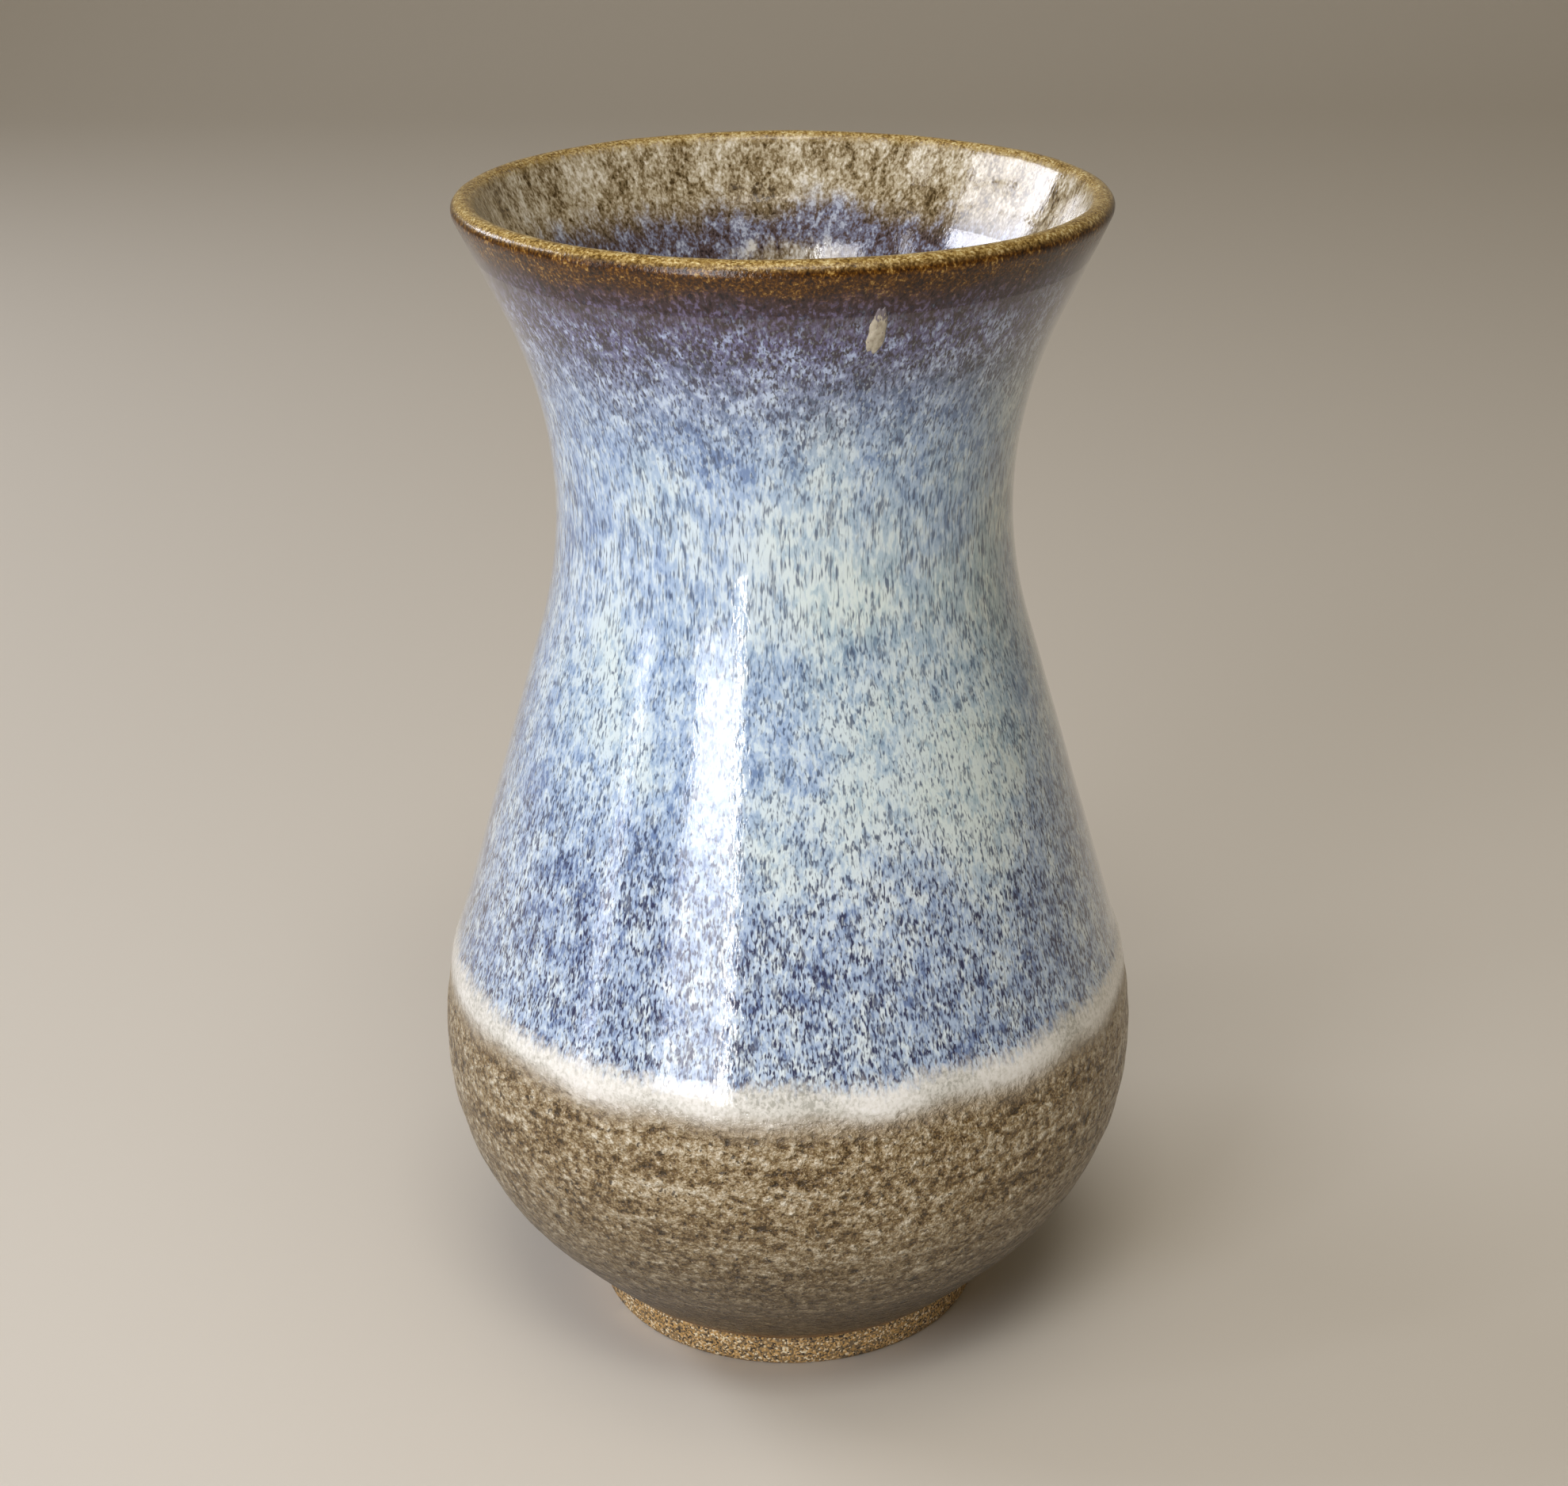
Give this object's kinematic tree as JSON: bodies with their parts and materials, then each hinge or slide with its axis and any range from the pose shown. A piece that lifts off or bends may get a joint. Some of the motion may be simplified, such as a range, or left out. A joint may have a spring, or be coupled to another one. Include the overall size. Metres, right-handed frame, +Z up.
{
  "type": "vase",
  "caption": "Hand-thrown stoneware bottle vase with a round belly, narrow neck and flared mouth, blue glaze above a white band and brown glaze below, on a bare turned foot.",
  "frame": {"origin": "centre of the foot's resting face, on the vase's axis", "axes": "+Z up along the axis of the thrown form, -Y towards the front, +X to the right seen from the front"},
  "size_m": [0.1096, 0.1096, 0.18],
  "materials": {
    "clay_body": "matte",
    "lower_glaze": "satin",
    "overlap_band": "gloss",
    "upper_glaze": "gloss",
    "rim_glaze": "gloss",
    "glaze_drop": "gloss"
  },
  "bodies": {
    "root": {"clay_body": "clay_body", "lower_glaze": "lower_glaze", "overlap_band": "overlap_band", "upper_glaze": "upper_glaze", "rim_glaze": "rim_glaze", "glaze_drop": "glaze_drop"}
  },
  "joints": []
}
